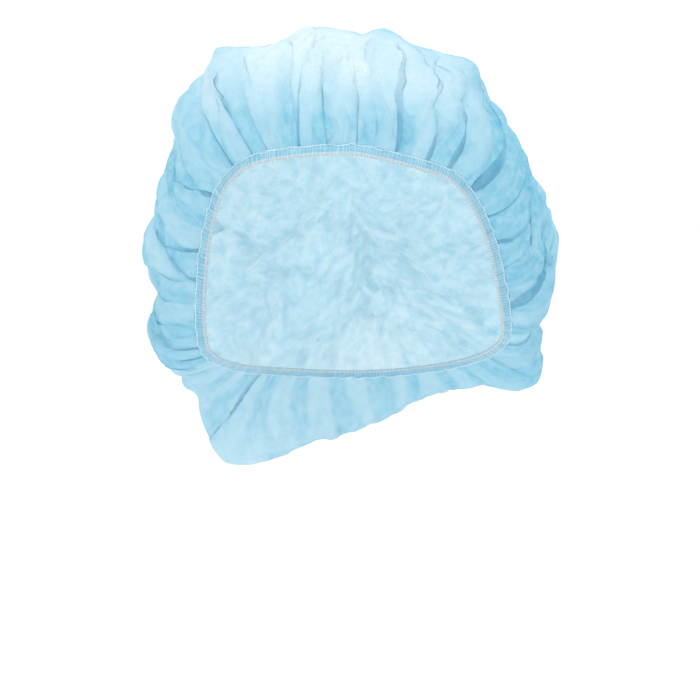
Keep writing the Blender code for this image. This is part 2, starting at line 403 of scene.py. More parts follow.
def flat_noise(seed, places, wave_length, count=60):
    """Seeded noise over flat places: the sum of plane waves of all directions near one length."""
    chance = np.random.default_rng(seed)
    ways = chance.uniform(0, 2 * np.pi, count)
    turns = 2 * np.pi / (wave_length * chance.lognormal(0, 0.35, count))
    starts = chance.uniform(0, 2 * np.pi, count)
    across = places[..., 0:1] * turns * np.cos(ways)
    up = places[..., 1:2] * turns * np.sin(ways)
    noise = np.sin(across + up + starts).sum(-1)
    return noise / noise.std()


# The cap's form

def column_turns(columns):
    """Each column's turn in radians: 90 degrees at the front, falling towards the right side."""
    return np.pi / 2 - 2 * np.pi * np.arange(columns) / columns


def loop_points(loop, columns):
    """The loop's free edge at evenly spaced columns, by its length, from the front."""
    half_sizes = np.array((loop.width, loop.depth, loop.rise)) / 2
    corners = np.array(LOOP_TABLE) * half_sizes
    chords = np.linalg.norm(np.roll(corners, -1, axis=0) - corners, axis=1)
    knots = np.insert(np.cumsum(chords)[:-1], 0, 0.0)
    fine = along_closed(knots, corners, chords.sum(), np.linspace(0.0, chords.sum(), 6001))
    fine[-1] = fine[0]
    travelled = np.insert(np.cumsum(np.linalg.norm(np.diff(fine, axis=0), axis=1)), 0, 0.0)
    stops = travelled[-1] * np.arange(columns) / columns
    return np.stack([np.interp(stops, travelled, fine[:, axis]) for axis in range(3)], axis=1)


def loop_frame(settings, loop, turns):
    """At each column: outwards, across the band towards the crown, and square to the band."""
    along = unit(np.roll(loop, -1, axis=0) - np.roll(loop, 1, axis=0))
    centre = (0.0, CENTRE_BACK * settings.depth / 2, CENTRE_RISE * settings.rise / 2)
    outwards = loop - np.array(centre)
    outwards = unit(outwards - along * np.sum(outwards * along, axis=1, keepdims=True))
    towards_crown = np.cross(outwards, along)
    share_back = (1 - np.sin(turns)) / 2
    roll = np.radians(HEM_ROLL_FRONT + (HEM_ROLL_BACK - HEM_ROLL_FRONT) * share_back)[:, None]
    across = np.cos(roll) * towards_crown + np.sin(roll) * outwards
    return outwards, across, np.cross(along, across)


def outline_points(crown, turns, softness=0.0, share=1.0):
    """The crown's widest point at each column: a bent ellipse seen from the front, further back below.

    A softness in radians averages its reach round the cap in a bell of that spread, and the reach is
    multiplied by the share.
    """
    table = np.array(OUTLINE_TABLE, float)
    reach = along_closed(table[:, 0], table[:, 1:], 360.0, np.degrees(turns))[:, 0]
    straight = np.interp(np.degrees(turns), table[:, 0], table[:, 1], period=360)
    reach = 0.25 * reach + 0.75 * straight
    waves = np.fft.fftfreq(len(turns)) * len(turns)
    reach = np.fft.ifft(np.fft.fft(reach) * np.exp(-0.5 * (waves * softness) ** 2)).real * share
    drop = ((1 - np.sin(turns)) / 2) ** RIDGE_SWEEP
    return np.stack((
        crown.width / 2 * reach * np.cos(turns),
        crown.top_back + (crown.bag_back - crown.top_back) * drop,
        crown.lift + crown.height / 2 * reach * np.sin(turns),
    ), axis=1)


def bezier(a, b, c, d, steps):
    """Cubic Bezier curves, one for each column, read at the same steps: rows by columns by 3."""
    t = steps[:, None, None]
    return a * (1 - t) ** 3 + 3 * b * t * (1 - t) ** 2 + 3 * c * t ** 2 * (1 - t) + d * t ** 3


def even_rows(grid, rows):
    """The same surface with its rows at even steps of each column's own length."""
    steps = np.linalg.norm(np.diff(grid, axis=0), axis=2)
    way = np.concatenate((np.zeros((1, grid.shape[1])), np.cumsum(steps, axis=0)))
    share = way / way[-1]
    wanted = np.linspace(0.0, 1.0, rows + 1)
    below = (share[None, :, :] <= wanted[:, None, None]).sum(axis=1) - 1
    below = np.clip(below, 0, len(grid) - 2)
    low = np.take_along_axis(share, below, axis=0)
    high = np.take_along_axis(share, below + 1, axis=0)
    part = ((wanted[:, None] - low) / (high - low))[:, :, None]
    first = np.take_along_axis(grid, below[:, :, None], axis=0)
    second = np.take_along_axis(grid, below[:, :, None] + 1, axis=0)
    return first * (1 - part) + second * part, way[-1]


def smooth_crown(loop_settings, crown, columns, rows):
    """The crown without folds: from the hem out to its ridge, then over the back to one last point."""
    turns = column_turns(columns)
    loop = loop_points(loop_settings, columns)
    outwards, across = loop_frame(loop_settings, loop, turns)[:2]
    edge = loop + across * loop_settings.hem_width
    ridge = outline_points(crown, turns)
    leaving = unit(across * (1 - LEAVING_TURN) + outwards * LEAVING_TURN)
    handle = FRONT_FULLNESS * np.linalg.norm(ridge - edge, axis=1, keepdims=True)
    backwards = np.array((0.0, 1.0, 0.0))
    front = bezier(edge, edge + leaving * handle, ridge - backwards * handle, ridge,
                   np.linspace(0.0, 1.0, 41))
    pole = np.array((0.0, crown.back_reach, crown.back_lift))
    soft = outline_points(crown, turns, BACK_SOFTNESS, BACK_SHARE)
    back = bezier(ridge, soft + (pole - soft) * (0.0, 1.0, 0.0) * BACK_FULLNESS,
                  pole + (soft - pole) * (1.0, 0.0, 1.0) * BACK_FULLNESS,
                  np.broadcast_to(pole, ridge.shape), np.linspace(0.0, 1.0, 61)[1:])
    grid, lengths = even_rows(np.concatenate((front, back)), rows)
    ridge_way = np.linalg.norm(np.diff(front, axis=0), axis=2).sum(axis=0)
    return grid, lengths, ridge_way, turns


def grid_frame(grid):
    """The grid's unit directions round the cap, and its outward normals."""
    along = unit(np.roll(grid, -1, axis=1) - np.roll(grid, 1, axis=1))
    down = np.gradient(grid, axis=0)
    return along, unit(np.cross(along * -1, down) * -1)


def chance_pleats(seed, count):
    """Rows like the pleat table's, seeded: one in each equal part of the way round, of any length,
    begin and lean, and laid to either side."""
    chance = np.random.default_rng(seed)
    part = 360 / count
    turn = np.arange(count) * part + chance.uniform(0, part, count)
    overlap = chance.uniform(2.4, 5.0, count) * chance.choice((-1, 1), count)
    spread = chance.uniform(2.0, 3.4, count)
    begin = chance.uniform(-25, 100, count)
    end = begin + chance.uniform(35, 85, count)
    lean = chance.uniform(-14, 14, count)
    calm = 1 - 0.7 * np.exp(-((turn - 90) / 36) ** 2)
    return np.stack((turn, overlap * calm, spread, begin, end, lean), axis=1)


def laid_pleats(turns, way, around):
    """How far the cloth moves round the cap and outwards to make flat pleats, and where they lie.

    Each pleat is the curve q exp(-q^2) of the distance q from its line, times 2.33 to bring its top
    to 1, so the cloth runs forward, back over itself and forward again. It tapers to nothing at both
    ends of its line.
    """
    shift, rise, bands = np.zeros((3,) + way.shape)
    tallest = 2.33
    for turn, overlap, spread, begin, end, lean in (*PLEAT_TABLE, *chance_pleats(17, CHANCE_PLEATS)):
        run = np.clip((way * MM - begin) / (end - begin), 0, 1)
        off = degrees_off(turns, turn + lean * run) / 360 * around * MM
        taper = eased(0, 0.15, run) * (1 - eased(0.25, 1.0, run))
        q = off / spread
        curve = tallest * q * np.exp(-q * q) * taper
        shift += PLEAT_SHIFT * abs(overlap) * curve
        rise += PLEAT_RISE * overlap * curve
        bands += np.minimum(abs(overlap) / FULL_OVERLAP, 1) * taper ** 0.6 * bell(q, 1.1)
    return shift / MM, rise / MM, np.minimum(bands, 1)


def hollows(turns, way):
    """How deep the cloth falls in: a bell of both distances, -d exp(-a^2 - b^2), for each hollow."""
    height = np.zeros(way.shape)
    for turn, depth, spread, middle, reach in HOLLOW_TABLE:
        off = degrees_off(turns, turn) / spread
        height -= depth / MM * np.exp(-off ** 2 - ((way * MM - middle) / reach) ** 2)
    return height


def fold_heights(crown, turns, flat, share, way, beyond, patches):
    """How far the cloth stands out of its smooth form.

    The sum of gathers that fade away from the hem, folds that run to the back, broad swells, and
    large and small creases in all directions of the flat cloth. It is bent over at FOLD_LIMIT by a
    tanh, and held in beside the ridge, so that the outline stays.
    """
    rows, columns = way.shape
    gathers = wave_noise(3, rows, columns, crown.gathers, 10, 16)
    folds = creased(wave_noise(5, rows, columns, crown.folds, 6, 24), 0.3)
    folds = folds - creased(wave_noise(9, rows, columns, crown.folds * 1.1, 6, 24), 0.3)
    swells = wave_noise(11, rows, columns, 9, 4, 30)
    crumples = creased(flat_noise(21, flat, LARGE_CREASES[0]), 0.08)
    crumples = crumples - creased(flat_noise(22, flat, LARGE_CREASES[1]), 0.08)
    small = creased(flat_noise(23, flat, SMALL_CREASES[0])) - creased(flat_noise(24, flat, SMALL_CREASES[1]))
    top = bell(degrees_off(turns, 90), TOP_SPREAD) * eased(*TOP_SHARES, share)
    near = np.exp(-(way / GATHER_REACH) ** 1.5)
    inner = eased(0.0, 0.03, way) * eased(*FOLDS_END, share)
    behind = eased(*BACK_SHARES, share)
    ridge, beside = bell(beyond, RIDGE_SPREAD), bell(beyond, BESIDE_SPREAD)
    height = crown.gather_depth * (creased(0.7 * gathers + 0.6) * 1.6 - 0.9) * near * (1 + 0.35 * patches)
    height += crown.fold_depth * 1.1 * folds * inner * (1 + 0.3 * patches) * (1 - 0.35 * top)
    height += crown.wave_depth * swells * inner
    height += crown.crumple_depth * crumples * eased(0.02, 0.06, way) * (1 - 0.45 * top + 1.6 * behind)
    height += crown.crumple_depth * (0.3 * (1 - 0.5 * top) + 0.42 * behind) * small * eased(0.01, 0.03, way)
    height = FOLD_LIMIT * np.tanh(height / FOLD_LIMIT)
    height = np.where(height > 0, height * (1 - 0.8 * beside), height * (1 - 0.6 * ridge))
    return height + hollows(turns, way) * eased(0.0, 0.02, way)


def layers_and_light_map(turns, share, way, ridge_way, beyond, patches, bands):
    """How much cloth lies at each place, with painted light and shade, from 0 for one smooth layer to 1 for a
    heap.

    Low over the smooth middle in front, which is painted light, near white, and higher in the columns of the
    gathers, in the laid pleats, along the ridge and where the painted shade table says. Painted light also
    makes it lower towards the underside.
    """
    from_top = degrees_off(turns, 90)
    behind = eased(*BACK_SHARES, share)
    # Painted light: the smooth front is painted near white, as if lit from above and through from behind
    smooth_painted_light = bell(from_top - PAINTED_LIGHT_MIDDLE, PAINTED_LIGHT_SPREAD)
    smooth_painted_light = smooth_painted_light * eased(*PAINTED_LIGHT_BEGIN, way) * eased(*PAINTED_LIGHT_END, share)
    rim = bell(beyond, RIM_SPREAD)
    gathered = eased(-0.2, 0.7, wave_noise(33, *way.shape, 30, 9, 30))
    low = 1 - 0.6 * np.clip(way / ridge_way[None, :], 0, 1)
    # Painted shade from the shade table, and painted light that makes the cap lighter towards its underside
    painted_shade = sum(amount * bell(from_top - middle, spread) for middle, spread, amount in PAINTED_SHADE_TABLE)
    painted_shade = (painted_shade - UNDERSIDE_PAINTED_LIGHT * np.abs(from_top / 180) ** 2) * (1 - behind)
    layers_and_light = PLAIN_LAYERS - SMOOTH_PAINTED_LIGHT * smooth_painted_light + PATCHES_MORE * patches * (1 - behind) + painted_shade
    layers_and_light = layers_and_light + GATHERS_MORE * gathered * low * (1 - behind) * (1 - 0.5 * smooth_painted_light)
    layers_and_light = layers_and_light + bands * PLEATS_MORE * (1 - behind) + BACK_MORE * behind + RIM_MORE * rim * smooth_painted_light
    return np.clip(layers_and_light, 0.0, 1.0)


def folded_cloth(loop_settings, crown):
    """The gathered cloth as rows from the hem to the back by columns round the cap, with each
    place's spot on the flat round cloth and its share of layers, with painted light and shade.

    The smooth form is moved out along its normals by the fold heights, and sideways by a share of
    the same heights, so that steep folds lie over their neighbours. The laid pleats then move it
    back over itself. Both fade where the cloth is sewn, along the ridge and towards the back.
    """
    grid, lengths, ridge_way, turns = smooth_crown(loop_settings, crown, crown.columns, crown.rows)
    rows, columns = grid.shape[:2]
    along, normal = grid_frame(grid)
    share = np.linspace(0.0, 1.0, rows)[:, None] * np.ones((1, columns))
    way = share * lengths[None, :]
    beyond = way - ridge_way[None, :]
    around = np.linalg.norm(np.roll(grid, -1, axis=1) - grid, axis=2).sum(axis=1, keepdims=True)
    flat = np.stack((np.cos(turns) * (1 - share), np.sin(turns) * (1 - share)), axis=2)
    flat = flat * crown.cloth_across / 2
    patches = wave_noise(31, rows, columns, 0, 5, 40)
    height = fold_heights(crown, turns, flat, share, way, beyond, patches)
    ridge = bell(beyond, RIDGE_SPREAD)
    behind = eased(*BACK_SHARES, share)
    lean = (crown.lean * wave_noise(41, rows, columns, 0, 6, 40) + 0.5) * (1 - 0.8 * behind)
    past = eased(*PLEATS_END, share - 0.08 * np.sin(turns))
    calm = (1 - 0.6 * ridge) * (1 - 0.85 * past) * eased(*POLE_SHARES, share)
    calm = calm * np.clip(ridge_way[None, :] / SHORT_WAY, 0, 1)
    shift, rise, bands = laid_pleats(turns, way, around)
    start = 0.12 + 0.88 * (1 - np.exp(-way / STITCHED_WAY))
    sideways = (height * lean * start * (1 - 0.7 * ridge) * (1 - 0.6 * bands) + shift) * calm
    out = (height + rise * calm * (1 - ridge)) * start
    cloth = grid + normal * out[:, :, None] + along * sideways[:, :, None]
    cloth[-1] = cloth[-2].mean(axis=0)
    return cloth, flat, layers_and_light_map(turns, share, way, ridge_way, beyond, patches, bands)


# Meshes

def ring_quads(rows, columns, close_rows):
    """Corner numbers of a grid's quads. The grid closes round its columns, and its rows if asked."""
    row = np.arange(rows if close_rows else rows - 1)[:, None]
    column = np.arange(columns)[None, :]
    here, below = row * columns, (row + 1) % rows * columns
    beside = (column + 1) % columns
    quads = np.stack(np.broadcast_arrays(here + column, below + column, below + beside, here + beside), 2)
    return quads.reshape(-1, 4)


def made_piece(name, places, quads, triangles=None, chart=None):
    """A mesh object from whole arrays of places, quads, triangles and flat places for its UV map."""
    corners = quads.reshape(-1)
    sizes = np.full(len(quads), 4)
    if triangles is not None:
        corners = np.concatenate((corners, triangles.reshape(-1)))
        sizes = np.concatenate((sizes, np.full(len(triangles), 3)))
    mesh = bpy.data.meshes.new(name)
    mesh.vertices.add(len(places))
    mesh.vertices.foreach_set("co", places.astype(np.float32).reshape(-1))
    mesh.loops.add(len(corners))
    mesh.loops.foreach_set("vertex_index", corners.astype(np.int32))
    mesh.polygons.add(len(sizes))
    starts = np.concatenate(((0,), np.cumsum(sizes)[:-1]))
    mesh.polygons.foreach_set("loop_start", starts.astype(np.int32))
    mesh.polygons.foreach_set("use_smooth", np.ones(len(sizes), bool))
    if chart is not None:
        layer = mesh.uv_layers.new(name="cloth_map")
        layer.data.foreach_set("uv", chart.astype(np.float32).reshape(-1))
    mesh.update(calc_edges=True)
    mesh.validate()
    piece = bpy.data.objects.new(name, mesh)
    bpy.context.scene.collection.objects.link(piece)
    return piece


def set_layers_and_light(piece, values):
    """Keeps at each corner how much cloth lies there, with painted light and shade: 0 for one smooth layer
    painted near white and 1 for a heap.
    """
    heap_and_light = piece.data.attributes.new("layers_and_light", "FLOAT", "POINT")
    heap_and_light.data.foreach_set("value", values.astype(np.float32))


def tube_chart(lengths_along, lengths_round, quads, columns, rows):
    """Each quad corner's distance along and round a tube, in metres, carried on past the seam."""
    row = quads // columns
    column = quads % columns
    column = np.where((column == 0) & (quads[:, 0:1] % columns == columns - 1), columns, column)
    row = np.where((row == 0) & (quads[:, 0:1] // columns == rows - 1), rows, row)
    return np.stack((column * lengths_along / columns, row * lengths_round / rows), axis=2)


# Materials

def add_node(tree, kind, settings=None, links=None):
    """Adds a node, sets its options and input values, and links outputs to its inputs."""
    node = tree.nodes.new(kind)
    for name, value in (settings or {}).items():
        if isinstance(name, int) or name in node.inputs:
            node.inputs[name].default_value = value
        else:
            setattr(node, name, value)
    for name, output in (links or {}).items():
        tree.links.new(output, node.inputs[name])
    return node


def new_material(name):
    material = bpy.data.materials.new(name)
    material.use_nodes = True
    material.node_tree.nodes.clear()
    return material


def rgba(colour):
    return (colour[0], colour[1], colour[2], 1.0)


def spunbond_cloth(name, dense, thin, single_painted_light, through, clear):
    """Point-bonded spunbond polypropylene, about 17 grams to the square metre.

    The eye gets a soft, matt, milky blue that brightens where light comes through, cloudy where filaments lie
    uneven, with tiny clearer points 1.6 mm apart, and a deeper blue wherever layers lie over each other. The
    layer attribute also carries painted light
    and shade: near white over the smooth front, and a deeper blue painted where shade falls round the cap.
    """
    material = new_material(name)
    tree = material.node_tree
    chart = add_node(tree, "ShaderNodeUVMap", {"uv_map": "cloth_map"}).outputs["UV"]
    cloud = add_node(tree, "ShaderNodeTexNoise",
                     {"Scale": 1 / CLOUD_SPACING, "Detail": 5.0, "Roughness": 0.6}, {"Vector": chart})
    # Real filaments are 0.02 mm thick: their tangle is drawn 1.5 mm coarse so that the picture shows it
    fibre = add_node(tree, "ShaderNodeTexNoise",
                     {"Scale": 1 / FILAMENT_SPACING, "Detail": 3.0, "Roughness": 0.7, "Distortion": 2.0},
                     {"Vector": chart})
    points = add_node(tree, "ShaderNodeTexVoronoi", {"Scale": 1 / WELD_SPACING, "Randomness": 0.55},
                      {"Vector": chart})
    weld = add_node(tree, "ShaderNodeMapRange", {"From Min": 0.15, "From Max": 0.36, "To Min": 1.0,
                                                 "To Max": 0.0}, {"Value": points.outputs["Distance"]})
    uneven = add_node(tree, "ShaderNodeMath", {"operation": "ADD"},
                      {0: cloud.outputs["Fac"], 1: fibre.outputs["Fac"]})
    dense_share = add_node(tree, "ShaderNodeMapRange", {"From Min": 0.87, "From Max": 1.13},
                           {"Value": uneven.outputs[0]})
    colour = add_node(tree, "ShaderNodeMix", {"data_type": "RGBA", 6: rgba(thin), 7: rgba(dense)},
                      {0: dense_share.outputs[0]})
    # The layer attribute holds painted light and shade as well as the layers of cloth: 0 gives the near-white
    # colour painted over the smooth front
    heap_and_light = add_node(tree, "ShaderNodeAttribute", {"attribute_name": "layers_and_light"}).outputs["Fac"]
    colour = add_node(tree, "ShaderNodeMix", {"data_type": "RGBA", 6: rgba(single_painted_light)},
                      {0: heap_and_light, 7: colour.outputs[2]})
    relief = add_node(tree, "ShaderNodeMath", {"operation": "MULTIPLY_ADD", 1: -0.4},
                      {0: weld.outputs[0], 2: fibre.outputs["Fac"]})
    bump = add_node(tree, "ShaderNodeBump", {"Strength": 0.55, "Distance": 0.0004},
                    {"Height": relief.outputs[0]})
    face = add_node(tree, "ShaderNodeBsdfPrincipled",
                    {"Roughness": 0.75, "Specular IOR Level": 0.25, "IOR": 1.49, "Sheen Weight": 0.15,
                     "Sheen Roughness": 0.5},
                    {"Base Color": colour.outputs[2], "Normal": bump.outputs[0]})
    glow = add_node(tree, "ShaderNodeBsdfTranslucent", None,
                    {"Color": colour.outputs[2], "Normal": bump.outputs[0]})
    body = add_node(tree, "ShaderNodeMixShader", {0: 0.60}, {1: face.outputs[0], 2: glow.outputs[0]})
    clear_share = add_node(tree, "ShaderNodeMapRange",
                           {"From Min": 0.70, "From Max": 1.30, "To Min": clear + 0.14,
                            "To Max": clear - 0.14}, {"Value": uneven.outputs[0]})
    pinholes = add_node(tree, "ShaderNodeMath", {"operation": "MULTIPLY_ADD", 1: 0.05},
                        {0: weld.outputs[0], 2: clear_share.outputs[0]})
    gaps = add_node(tree, "ShaderNodeBsdfTransparent", {"Color": rgba(through)})
    sheet = add_node(tree, "ShaderNodeMixShader", None,
                     {0: pinholes.outputs[0], 1: body.outputs[0], 2: gaps.outputs[0]})
    add_node(tree, "ShaderNodeOutputMaterial", None, {"Surface": sheet.outputs[0]})
    return material


def covered_elastic(colour):
    """Rubber strands wound in white polyester yarn, knitted flat.

    The eye gets a matt white edge with a fine braid of about 0.7 mm, greyer between the yarns.
    """
    material = new_material("covered_elastic_white")
    tree = material.node_tree
    chart = add_node(tree, "ShaderNodeUVMap", {"uv_map": "cloth_map"}).outputs["UV"]
    turned = add_node(tree, "ShaderNodeMapping", {"Rotation": (0.0, 0.0, math.radians(38))},
                      {"Vector": chart})
    crossed = add_node(tree, "ShaderNodeMapping", {"Rotation": (0.0, 0.0, math.radians(-38))},
                       {"Vector": chart})
    yarn_a = add_node(tree, "ShaderNodeTexWave", {"Scale": 1 / YARN_SPACING / 2, "Distortion": 0.6},
                      {"Vector": turned.outputs[0]})
    yarn_b = add_node(tree, "ShaderNodeTexWave", {"Scale": 1 / YARN_SPACING / 2, "Distortion": 0.6},
                      {"Vector": crossed.outputs[0]})
    braid = add_node(tree, "ShaderNodeMath", {"operation": "MAXIMUM"},
                     {0: yarn_a.outputs["Fac"], 1: yarn_b.outputs["Fac"]})
    shade = tuple(part * 0.62 for part in colour)
    tint = add_node(tree, "ShaderNodeMix", {"data_type": "RGBA", 6: rgba(shade), 7: rgba(colour)},
                    {0: braid.outputs[0]})
    bump = add_node(tree, "ShaderNodeBump", {"Strength": 0.7, "Distance": 0.0003},
                    {"Height": braid.outputs[0]})
    face = add_node(tree, "ShaderNodeBsdfPrincipled",
                    {"Roughness": 0.7, "Specular IOR Level": 0.3, "Sheen Weight": 0.1},
                    {"Base Color": tint.outputs[2], "Normal": bump.outputs[0]})
    add_node(tree, "ShaderNodeOutputMaterial", None, {"Surface": face.outputs[0]})
    return material


def spun_thread(colour):
    """White spun polyester sewing thread, two plies twisted about every 0.6 mm.

    The eye gets a pale, slightly hairy line that catches the light at each stitch.
    """
    material = new_material("spun_polyester_thread")
    tree = material.node_tree
    chart = add_node(tree, "ShaderNodeUVMap", {"uv_map": "cloth_map"}).outputs["UV"]
    turned = add_node(tree, "ShaderNodeMapping", {"Rotation": (0.0, 0.0, math.radians(30))},
                      {"Vector": chart})
    plies = add_node(tree, "ShaderNodeTexWave", {"Scale": 1 / PLY_SPACING / 2, "Distortion": 0.4},
                     {"Vector": turned.outputs[0]})
    shade = tuple(part * 0.8 for part in colour)
    tint = add_node(tree, "ShaderNodeMix", {"data_type": "RGBA", 6: rgba(shade), 7: rgba(colour)},
                    {0: plies.outputs["Fac"]})
    bump = add_node(tree, "ShaderNodeBump", {"Strength": 0.5, "Distance": 0.0001},
                    {"Height": plies.outputs["Fac"]})
    face = add_node(tree, "ShaderNodeBsdfPrincipled",
                    {"Roughness": 0.6, "Specular IOR Level": 0.3, "Sheen Weight": 0.2},
                    {"Base Color": tint.outputs[2], "Normal": bump.outputs[0]})
    add_node(tree, "ShaderNodeOutputMaterial", None, {"Surface": face.outputs[0]})
    return material


def matt_paper(colour):
    """Seamless background paper: an even matt white with a faint tooth."""
    material = new_material("seamless_paper_white")
    tree = material.node_tree
    place = add_node(tree, "ShaderNodeTexCoord").outputs["Object"]
    tooth = add_node(tree, "ShaderNodeTexNoise", {"Scale": 400.0, "Detail": 2.0}, {"Vector": place})
    bump = add_node(tree, "ShaderNodeBump", {"Strength": 0.05, "Distance": 0.0002},
                    {"Height": tooth.outputs["Fac"]})
    face = add_node(tree, "ShaderNodeBsdfPrincipled",
                    {"Base Color": rgba(colour), "Roughness": 0.9, "Specular IOR Level": 0.2},
                    {"Normal": bump.outputs[0]})
    add_node(tree, "ShaderNodeOutputMaterial", None, {"Surface": face.outputs[0]})
    return material


# Hem, elastic and threads

def hem_frame(loop_settings, crown):
    """Along the hem's columns: its free edge, the way across, the way square to it, and its puckers."""
    turns = column_turns(crown.columns)
    loop = loop_points(loop_settings, crown.columns)
    outwards, across, square = loop_frame(loop_settings, loop, turns)
    facing = np.sign(np.sum(square * outwards, axis=1).mean())
    puckers = wave_noise(13, 2, crown.columns, 62, 18, 1)[0][:, None] * 0.00022
    return loop, across, square * facing, square * facing * puckers


def on_hem(frame_parts, at, far, out, hem_width):
    """Places on the hem: at so many columns round it, so far from the free edge, so far out of it."""
    loop, across, square, pleats = frame_parts
    count = len(loop)
    low = np.floor(at).astype(int)
    part = (at - low)[..., None]
    low = low % count
    high = (low + 1) % count
    edge, cross, up, fold = [values[low] * (1 - part) + values[high] * part
                             for values in (loop, across, square, pleats)]
    share = np.clip(far / hem_width, 0, 1.2)[..., None]
    return edge + cross * far[..., None] + up * out[..., None] + fold * share ** 1.5


def tube_along(path, thickness, sides, closed):
    """A round tube of so many sides carried along a path, with the path's points as its columns."""
    if closed:
        ahead = unit(np.roll(path, -1, axis=-2) - np.roll(path, 1, axis=-2))
    else:
        ahead = unit(np.gradient(path, axis=-2))
    reference = np.broadcast_to(np.array((0.0, 0.35, 0.94)), path.shape)
    side = unit(np.cross(ahead, reference))
    up = np.cross(side, ahead)
    spins = 2 * np.pi * np.arange(sides) / sides
    spins = spins.reshape((sides,) + (1,) * path.ndim)
    return path + (side * np.cos(spins) + up * np.sin(spins)) * thickness / 2


# Operators

class BOUFFANT_OT_crown(bpy.types.Operator):
    """Make the gathered cloth of the crown"""
    bl_idname = "bouffant.crown"
    bl_label = "Crown cloth"

    def execute(self, context):
        loop, crown = context.scene.bouffant_loop, context.scene.bouffant_crown
        cloth, flat, layers_and_light = folded_cloth(loop, crown)
        rows, columns = cloth.shape[:2]
        places = np.concatenate((cloth[:-1].reshape(-1, 3), cloth[-1, :1]))
        quads = ring_quads(rows - 1, columns, False)
        last = (rows - 2) * columns
        column = np.arange(columns)
        fan = np.stack((last + column, np.full(columns, len(places) - 1),
                        last + (column + 1) % columns), axis=1)
        spots = np.concatenate((flat[:-1].reshape(-1, 2), flat[-1, :1]))
        chart = np.concatenate((spots[quads].reshape(-1, 2), spots[fan].reshape(-1, 2)))
        piece = made_piece("crown_cloth", places, quads, fan, chart)
        set_layers_and_light(piece, np.append(layers_and_light[:-1].reshape(-1), layers_and_light[-1, 0]))
        piece.data.materials.append(spunbond_cloth(
            "spunbond_polypropylene_blue", crown.cloth_colour, crown.thin_colour, crown.single_painted_light_colour,
            crown.glow_colour, 0.27))
        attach(piece, "root")
        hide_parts("crown")
        return {"FINISHED"}


class BOUFFANT_OT_hem_band(bpy.types.Operator):
    """Make the folded band of cloth round the elastic"""
    bl_idname = "bouffant.hem_band"
    bl_label = "Hem band"

    def execute(self, context):
        loop, crown = context.scene.bouffant_loop, context.scene.bouffant_crown
        parts = hem_frame(loop, crown)
        sides = 12
        spins = 2 * np.pi * np.arange(sides) / sides
        at = np.arange(crown.columns)[None, :] * np.ones((sides, 1))
        ripple = wave_noise(51, 2, crown.columns, 90, 25, 1)[0]
        middle, half = loop.hem_width * 0.60, loop.hem_width * 0.42
        far = middle + half * np.cos(spins)[:, None] * (1 + 0.05 * ripple)
        swelling = 1 + 0.7 * eased(0.2, 1.0, -np.cos(spins))[:, None]
        out = np.sin(spins)[:, None] * loop.hem_thickness / 2 * swelling * (1 + 0.15 * ripple)
        places = on_hem(parts, at, far, out * np.ones_like(far), loop.hem_width)
        quads = ring_quads(sides, crown.columns, True)
        chart = tube_chart(LOOP_LENGTH, BAND_GIRTH, quads, crown.columns, sides).reshape(-1, 2)
        piece = made_piece("hem_band_cloth", places.reshape(-1, 3), quads, None, chart)
        set_layers_and_light(piece, np.ones(sides * crown.columns))
        piece.data.materials.append(spunbond_cloth(
            "spunbond_polypropylene_folded", hex_colour("#9fd8ea"), hex_colour("#c2e8f3"),
            crown.cloth_colour, crown.glow_colour, 0.14))
        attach(piece, "root")
        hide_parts("hem_band")
        return {"FINISHED"}


class BOUFFANT_OT_elastic(bpy.types.Operator):
    """Make the flat elastic at the free edge"""
    bl_idname = "bouffant.elastic"
    bl_label = "Elastic"

    def execute(self, context):
        loop, crown = context.scene.bouffant_loop, context.scene.bouffant_crown
        parts = hem_frame(loop, crown)
        sides, columns = 14, crown.columns * 2
        spins = 2 * np.pi * np.arange(sides) / sides
        at = np.arange(columns)[None, :] / 2 * np.ones((sides, 1))
        beads = 0.06 * np.sin(2 * np.pi * np.arange(columns) / 4)[None, :]
        far = loop.elastic_width / 2 * (1 + np.cos(spins)[:, None] * (1 + beads * 0.5))
        out = loop.elastic_thickness / 2 * np.sin(spins)[:, None] * (1 + beads)
        places = on_hem(parts, at, far, out, loop.hem_width)
        quads = ring_quads(sides, columns, True)
        chart = tube_chart(LOOP_LENGTH, CORD_GIRTH, quads, columns, sides).reshape(-1, 2)
        piece = made_piece("elastic_cord", places.reshape(-1, 3), quads, None, chart)
        piece.data.materials.append(covered_elastic(loop.elastic_colour))
        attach(piece, "root")
        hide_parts("elastic")
        return {"FINISHED"}


